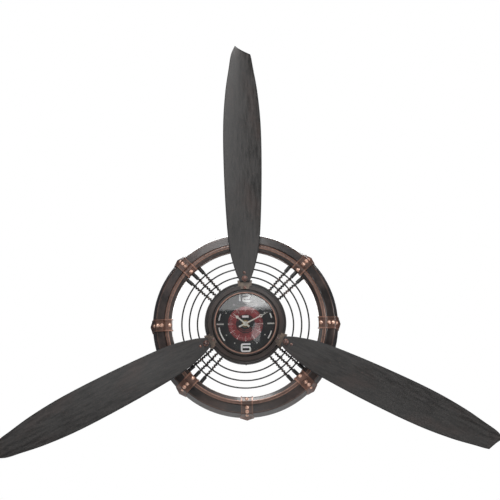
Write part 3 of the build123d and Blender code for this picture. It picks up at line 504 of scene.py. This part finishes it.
def stroke(bm, points, width, y, closed=False, lift=PRINT):
    """Flat line of a width through points in the dial's plane, with mitred corners."""
    count = len(points)
    sides = []
    for k, (x, z) in enumerate(points):
        before = points[(k - 1) % count] if closed or k else None
        after = points[(k + 1) % count] if closed or k < count - 1 else None
        directions = []
        if before:
            directions.append(Vector((x - before[0], z - before[1])).normalized())
        if after:
            directions.append(Vector((after[0] - x, after[1] - z)).normalized())
        along = sum(directions, Vector((0, 0))).normalized()
        normal = Vector((-along.y, along.x))
        half = width / 2 / max(abs(normal.dot(Vector((-directions[0].y, directions[0].x)))), 0.5)
        sides.append((Vector((x, z)) + normal * half, Vector((x, z)) - normal * half))
    rings = []
    for a, b in sides:
        rings.append([bm.verts.new((a.x, y, a.y)), bm.verts.new((b.x, y, b.y)),
                      bm.verts.new((b.x, y - lift, b.y)), bm.verts.new((a.x, y - lift, a.y))])
    pairs = list(zip(rings, rings[1:] + rings[:1])) if closed else list(zip(rings, rings[1:]))
    for one, two in pairs:
        for k in range(4):
            bm.faces.new((one[k], one[(k + 1) % 4], two[(k + 1) % 4], two[k]))
    if not closed:
        bm.faces.new(rings[0])
        bm.faces.new(list(reversed(rings[-1])))


def disc(bm, x, z, radius, y, lift=PRINT, sides=24):
    turn = [2 * math.pi * k / sides for k in range(sides)]
    front = [bm.verts.new((x + radius * math.cos(a), y - lift, z + radius * math.sin(a))) for a in turn]
    back = [bm.verts.new((x + radius * math.cos(a), y, z + radius * math.sin(a))) for a in turn]
    bm.faces.new(front)
    bm.faces.new(list(reversed(back)))
    for k in range(sides):
        bm.faces.new((front[k], front[(k + 1) % sides], back[(k + 1) % sides], back[k]))


def arc(radius, start, end, steps=0, x=0.0, z=0.0):
    steps = steps or max(2, int(abs(end - start) / 4))
    angles = [math.radians(start + (end - start) * k / steps) for k in range(steps + 1)]
    return [(x + radius * math.cos(a), z + radius * math.sin(a)) for a in angles]


def printed(name, material, draw):
    mesh = bpy.data.meshes.new(name)
    bm = bmesh.new()
    draw(bm)
    bmesh.ops.recalc_face_normals(bm, faces=bm.faces)
    bm.to_mesh(mesh)
    bm.free()
    return new_piece(name, mesh, material, ROOT)


def rounded_path(corners, radius, closed=False):
    """Points along straight runs between corners, each corner rounded to the radius."""
    points = []
    count = len(corners)
    for k, corner in enumerate(corners):
        here = Vector(corner)
        if not closed and k in (0, count - 1):
            points.append(tuple(here))
            continue
        back = (Vector(corners[k - 1]) - here).normalized()
        ahead = (Vector(corners[(k + 1) % count]) - here).normalized()
        start, end = here + back * radius, here + ahead * radius
        for step in range(5):
            t = step / 4
            points.append(tuple((1 - t) ** 2 * start + 2 * t * (1 - t) * here + t**2 * end))
    return points


def numerals(bm):
    """A 12 and a 6 in heavy rounded strokes, the arcs beside them and a plaque under the 12."""
    thick = 3.3 * MM
    z, h = 51.5 * MM, 6.2 * MM  # the 12 stands above the hub
    stroke(bm, [(-10.4 * MM, z - h), (-10.4 * MM, z + h)], thick, dial_y)
    two = [(-5.2, 6.2), (8.6, 6.2), (8.6, 0.1), (-4.0, 0.1), (-4.0, -6.2), (10.4, -6.2)]
    stroke(bm, rounded_path([(x * MM, z + y * MM) for x, y in two], 2.2 * MM), thick, dial_y)
    z = -47.4 * MM  # the 6 stands below it
    six = [(9.0, 7.0), (-8.4, 7.0), (-8.4, -7.0), (8.4, -7.0), (8.4, 0.9), (-6.4, 0.9)]
    stroke(bm, rounded_path([(x * MM, z + y * MM) for x, y in six], 3.0 * MM), thick, dial_y)
    for start, end in ((157, 172), (187, 218), (12, 23), (-34, -16)):
        stroke(bm, arc(53 * MM, start, end), 2.4 * MM, dial_y)
    # Plain plaque under the 12, without lettering
    stroke(bm, [(-6.4 * MM, 14.6 * MM), (6.4 * MM, 14.6 * MM)], 4.4 * MM, dial_y)


def bars_and_dots(bm):
    for side in (-1, 1):
        stroke(bm, [(side * 43 * MM, 0), (side * 57 * MM, 0)], 2.6 * MM, dial_y)
    for hour in (1, 2, 4, 5, 7, 8, 10, 11):
        a = math.radians(90 - 30 * hour)
        disc(bm, 44 * MM * math.cos(a), 44 * MM * math.sin(a), 1.2 * MM, dial_y)


def red_ring(bm):
    near, far = 18.8 * MM, 34.6 * MM
    stroke(bm, arc((near + far) / 2, 0, 360, 96)[:-1], far - near, dial_y, closed=True, lift=PRINT / 2)
    for start, end, r in ((200, 340, 16.0), (215, 325, 12.5), (20, 60, 16.0), (120, 160, 16.0)):
        stroke(bm, arc(r * MM, start, end), 1.4 * MM, dial_y, lift=PRINT / 2)


def ring_marks(bm):
    y = dial_y - PRINT / 2
    for minute in range(60):
        a = math.radians(6 * minute)
        near, far = (27.5, 32.0) if minute % 5 else (24.5, 33.5)
        wide = 0.35 if minute % 5 else 0.8
        points = [(r * MM * math.cos(a), r * MM * math.sin(a)) for r in (near, far)]
        stroke(bm, points, wide * MM, y, lift=PRINT / 2)
    for hour in range(12):
        a = math.radians(30 * hour)
        disc(bm, 33.6 * MM * math.cos(a), 33.6 * MM * math.sin(a), 1.25 * MM, y, lift=PRINT / 2)


printed("dial_numerals", white_print(), numerals)
bar_print = white_print("bar_print", (214, 212, 204), (170, 168, 160))
printed("dial_bars", bar_print, bars_and_dots)
printed("dial_red_ring", red_print(), red_ring)
mark_print = white_print("mark_print", (226, 196, 190), (190, 150, 146))
printed("dial_ring_marks", mark_print, ring_marks)

# ------------------------------------------------------------------ light and floor


def area_light(name, place, aim, size, power, size_y=None, shape="RECTANGLE"):
    data = bpy.data.lights.new(name, "AREA")
    data.shape = shape
    data.size = size
    data.size_y = size_y or size
    data.energy = power
    light = bpy.data.objects.new(name, data)
    scene.collection.objects.link(light)
    light.location = place
    light.rotation_euler = (Vector(aim) - Vector(place)).to_track_quat("-Z", "Y").to_euler()
    light.visible_camera = False
    return light


area_light("key_top", (-0.15, -1.15, 1.45), (0, 0, 0.2), 0.6, 24)
area_light("blade_wash", (-0.1, -1.6, 0.7), (0, 0, 0.4), 0.5, 6.5)
area_light("fill_left", (-2.6, -1.8, 0.9), (0, 0, 0), 0.7, 10)
area_light("fill_right", (1.7, -0.7, 0.25), (0, 0, 0), 0.6, 16)
area_light("bounce_low", (0, -1.1, -0.55), (0, 0, -0.1), 0.4, 1.3)
area_light("back_fill", (0, 2.8, 0.7), (0, 0, 0.1), 1.2, 30)
area_light("floor_wash", (0, 1.6, 2.4), (0, 1.6, -0.6), 1.5, 24)
# Panels in front of the clock that its flat lens mirrors
area_light("lens_window", (0.02, -1.0, 0.187), (0.02, 0, 0.187), 0.30, 0.22, 0.105)
area_light("lens_window_right", (0.036, -0.99, 0.160), (0.036, 0, 0.160), 0.07, 0.013, 0.042)
area_light("lens_glint", (0.021, -0.98, 0.153), (0.021, 0, 0.153), 0.050, 0.009, 0.030, shape="ELLIPSE")
area_light("lens_spark", (0.045, -0.98, 0.158), (0.045, 0, 0.158), 0.040, 0.006, 0.034, shape="ELLIPSE")
area_light("lens_corner", (0.0225, -1.0, 0.082), (0.0225, 0, 0.082), 0.020, 0.0035, 0.046, shape="ELLIPSE")

world = bpy.data.worlds.new("studio")
scene.world = world
world.use_nodes = True
world_nodes, world_links = world.node_tree.nodes, world.node_tree.links
around = world_nodes["Background"]
around.inputs["Color"].default_value = (0.86, 0.90, 1.0, 1)
around.inputs["Strength"].default_value = 0.08
backdrop = world_nodes.new("ShaderNodeBackground")
backdrop.inputs["Color"].default_value = (1, 1, 1, 1)
backdrop.inputs["Strength"].default_value = 1.0
seen = world_nodes.new("ShaderNodeLightPath")
blend = world_nodes.new("ShaderNodeMixShader")
world_links.new(seen.outputs["Is Camera Ray"], blend.inputs[0])
world_links.new(around.outputs[0], blend.inputs[1])
world_links.new(backdrop.outputs[0], blend.inputs[2])
world_links.new(blend.outputs[0], world_nodes["World Output"].inputs["Surface"])
scene.view_settings.view_transform = "Standard"

FLOOR_HALF = 1.8
FLOOR_DROP = 0.4  # below the lowest blade

floor_mesh = bpy.data.meshes.new("floor")
floor_bm = bmesh.new()
bmesh.ops.create_grid(floor_bm, x_segments=2, y_segments=2, size=FLOOR_HALF)
floor_bm.to_mesh(floor_mesh)
floor_bm.free()
floor = bpy.data.objects.new("floor", floor_mesh)
floor.location = (0, 0, cad_box[0][2] - FLOOR_DROP)
scene.collection.objects.link(floor)
floor_shade = Shade("floor")
floor_tone = floor_shade.mix(floor_shade.noise(3, 3), (0.80, 0.80, 0.79), (0.84, 0.84, 0.83))
floor_mesh.materials.append(floor_shade.finish(floor_tone, 0.8, 0.0))
